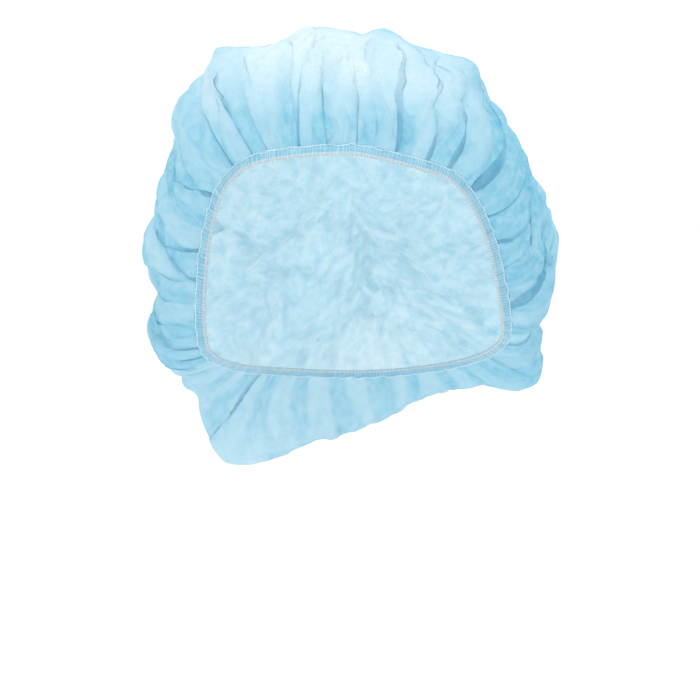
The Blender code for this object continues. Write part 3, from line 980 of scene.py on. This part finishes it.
class BOUFFANT_OT_threads(bpy.types.Operator):
    """Make the needle line and the looper threads that wrap the edge"""
    bl_idname = "bouffant.threads"
    bl_label = "Overlock threads"

    def execute(self, context):
        loop, crown = context.scene.bouffant_loop, context.scene.bouffant_crown
        parts = hem_frame(loop, crown)
        edge = parts[0]
        around = np.linalg.norm(np.roll(edge, -1, axis=0) - edge, axis=1).sum()
        stitches = int(round(around / loop.stitch_length))
        thread = spun_thread(loop.thread_colour)
        self.make_loopers(loop, crown, parts, stitches, thread)
        self.make_needle_line(loop, crown, parts, stitches, thread)
        return {"FINISHED"}

    def make_loopers(self, loop, crown, parts, stitches, thread):
        """One thread wound round the edge: an ellipse across the hem that moves on a stitch each turn."""
        steps, sides, inset = 16, 5, 0.0002
        count = stitches * steps
        turn = 2 * np.pi * np.arange(count) / steps
        uneven = wave_noise(61, 2, count, stitches * 0.31, stitches * 0.2, 1)[0]
        half = (loop.hem_width - inset) / 2 * (1 + 0.03 * uneven)
        far = loop.hem_width / 2 - inset + half * np.cos(turn)
        lift = loop.elastic_thickness / 2 + loop.thread_thickness * 0.5
        out = lift * np.sin(turn) * (1 + 0.06 * uneven)
        slant = 0.35 * np.cos(turn) + 0.25 * wave_noise(63, 2, count, stitches * 0.2, stitches * 0.15, 1)[0]
        at = (np.arange(count) / steps + slant) * crown.columns / stitches
        path = on_hem(parts, at, far, out, loop.hem_width)
        tube = tube_along(path, loop.thread_thickness * 0.55, sides, True)
        quads = ring_quads(sides, count, True)
        chart = tube_chart(stitches * BAND_GIRTH, THREAD_GIRTH, quads, count, sides).reshape(-1, 2)
        piece = made_piece("looper_threads", tube.reshape(-1, 3), quads, None, chart)
        piece.data.materials.append(thread)
        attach(piece, "root")

    def make_needle_line(self, loop, crown, parts, stitches, thread):
        """Short stitches along the needle line, outside and inside: each rises from one hole and
        goes into the next in a half wave, all computed as one array of stitches by steps."""
        steps, sides = 7, 6
        inset, swing, loft = 0.0004, 0.00020, 0.00022
        side_width = 0.00015
        share = np.linspace(0.0, 1.0, steps)
        for name, side in (("needle_line", 1.0), ("needle_line_inside", -1.0)):
            at = (np.arange(stitches)[:, None] + 0.06 + 0.88 * share[None, :]) / stitches * crown.columns
            sway = wave_noise(71, 2, stitches, 60, 40, 1)[0][:, None]
            far = loop.hem_width - inset + swing * sway * np.ones((1, steps))
            rise = loop.hem_thickness / 2 * 0.7 + loft * np.sin(np.pi * share)[None, :]
            path = on_hem(parts, at, far, side * rise * np.ones_like(far), loop.hem_width)
            tube = tube_along(path, loop.thread_thickness * 1.25, sides, False)
            tube = np.moveaxis(tube, 0, 1)
            local = np.arange(sides * steps).reshape(sides, steps)
            one = np.stack((local[:, :-1], local[:, 1:], np.roll(local, -1, axis=0)[:, 1:],
                            np.roll(local, -1, axis=0)[:, :-1]), axis=2).reshape(-1, 4)
            quads = (one[None] + np.arange(stitches)[:, None, None] * sides * steps).reshape(-1, 4)
            spot = np.stack((np.broadcast_to(share * loop.stitch_length, (sides, steps)),
                             np.broadcast_to(np.arange(sides)[:, None] * side_width, (sides, steps))), axis=2)
            chart = np.tile(spot.reshape(-1, 2)[one].reshape(-1, 2), (stitches, 1))
            piece = made_piece(name, tube.reshape(-1, 3), quads, None, chart)
            piece.data.materials.append(thread)
            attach(piece, "root")


class BOUFFANT_OT_stage(bpy.types.Operator):
    """Make the floor, the lights and the camera"""
    bl_idname = "bouffant.stage"
    bl_label = "Stage"

    def execute(self, context):
        stage = context.scene.bouffant_stage
        self.make_floor(stage)
        self.make_lights(context)
        self.make_camera(context, stage)
        return {"FINISHED"}

    def make_floor(self, stage):
        """A flat round sheet of paper: rings of points out to 20 m, and one point in the middle."""
        sides = 64
        rings = np.array((0.3, 0.8, 2.0, 6.0, 20.0))[:, None]
        turns = np.linspace(0, 2 * np.pi, sides, endpoint=False)[None, :]
        grid = np.stack((rings * np.cos(turns), rings * np.sin(turns),
                         np.full((len(rings), sides), stage.floor_level)), axis=2)
        places = np.concatenate((grid.reshape(-1, 3), ((0.0, 0.0, stage.floor_level),)))
        column = np.arange(sides)
        fan = np.stack((column, (column + 1) % sides, np.full(sides, len(places) - 1)), axis=1)
        floor = made_piece("floor", places, ring_quads(len(rings), sides, False), fan)
        floor.data.materials.append(matt_paper(stage.floor_colour))

    def make_lights(self, context):
        """A white surround, a soft light above in front, and weaker ones low in front and behind."""
        world = bpy.data.worlds.new("studio_white")
        world.use_nodes = True
        background = world.node_tree.nodes["Background"]
        background.inputs["Color"].default_value = (1.0, 1.0, 1.0, 1.0)
        background.inputs["Strength"].default_value = 1.03
        context.scene.world = world
        table = (
            ("top_front_light", (-0.06, -0.62, 1.40), 0.5, 10.0),
            ("low_light", (-0.50, -1.20, -0.30), 0.6, 5.0),
            ("back_light", (0.50, 1.40, 0.90), 0.9, 3.0),
        )
        for name, place, size, power in table:
            light = bpy.data.lights.new(name, "AREA")
            light.size = size
            light.energy = power
            lamp = bpy.data.objects.new(name, light)
            context.scene.collection.objects.link(lamp)
            lamp.location = place
            towards = Vector((0, 0.02, 0.01)) - Vector(place)
            lamp.rotation_euler = towards.to_track_quat("-Z", "Y").to_euler()

    def make_camera(self, context, stage):
        """Looks down by the pitch at the picture's middle, with a lens that shows the frame's width."""
        camera = bpy.data.cameras.new("camera")
        camera.lens = camera.sensor_width * stage.camera_distance / stage.frame_width
        holder = bpy.data.objects.new("camera", camera)
        context.scene.collection.objects.link(holder)
        aim = Vector((stage.aim_across, 0.0, stage.aim_height))
        away = Vector((0.0, -math.cos(stage.camera_pitch), math.sin(stage.camera_pitch)))
        holder.location = aim + away * stage.camera_distance
        holder.rotation_euler = (-away).to_track_quat("-Z", "Y").to_euler()
        context.scene.camera = holder
        context.scene.view_settings.view_transform = "Standard"


class BOUFFANT_OT_declare(bpy.types.Operator):
    bl_idname = "bouffant.declare"
    bl_label = "Declare the cloth"

    def execute(self, context):
        names = ("hem_band_cloth", "elastic_cord", "looper_threads", "needle_line", "needle_line_inside")
        missing = [name for name in names if name not in bpy.data.objects]
        if missing:
            raise RuntimeError(f"these pieces aren't made yet: {missing}")
        return {"FINISHED"}


class BOUFFANT_PT_panel(bpy.types.Panel):
    """Sizes and colours of the cap, and a button for each piece"""
    bl_idname = "BOUFFANT_PT_panel"
    bl_label = "Bouffant cap"
    bl_space_type = "VIEW_3D"
    bl_region_type = "UI"
    bl_category = "Bouffant cap"

    def draw(self, context):
        layout = self.layout
        for group in (context.scene.bouffant_loop, context.scene.bouffant_crown,
                      context.scene.bouffant_stage):
            box = layout.box()
            for name in group.__annotations__:
                box.prop(group, name)
        for operator in OPERATORS:
            layout.operator(operator.bl_idname)


SETTINGS = {
    "bouffant_loop": BouffantLoopSettings,
    "bouffant_crown": BouffantCrownSettings,
    "bouffant_stage": BouffantStageSettings,
}
OPERATORS = (
    BOUFFANT_OT_crown,
    BOUFFANT_OT_hem_band,
    BOUFFANT_OT_elastic,
    BOUFFANT_OT_threads,
    BOUFFANT_OT_declare,
    BOUFFANT_OT_stage,
)


def register():
    for kind in (*SETTINGS.values(), *OPERATORS, BOUFFANT_PT_panel):
        bpy.utils.register_class(kind)
    for name, kind in SETTINGS.items():
        setattr(bpy.types.Scene, name, bpy.props.PointerProperty(type=kind))


def unregister():
    for name in SETTINGS:
        delattr(bpy.types.Scene, name)
    for kind in reversed((*SETTINGS.values(), *OPERATORS, BOUFFANT_PT_panel)):
        bpy.utils.unregister_class(kind)


def main():
    register()
    bpy.ops.bouffant.crown()
    bpy.ops.bouffant.hem_band()
    bpy.ops.bouffant.elastic()
    bpy.ops.bouffant.threads()
    bpy.ops.bouffant.declare()
    bpy.ops.bouffant.stage()


if __name__ == "__main__":
    main()
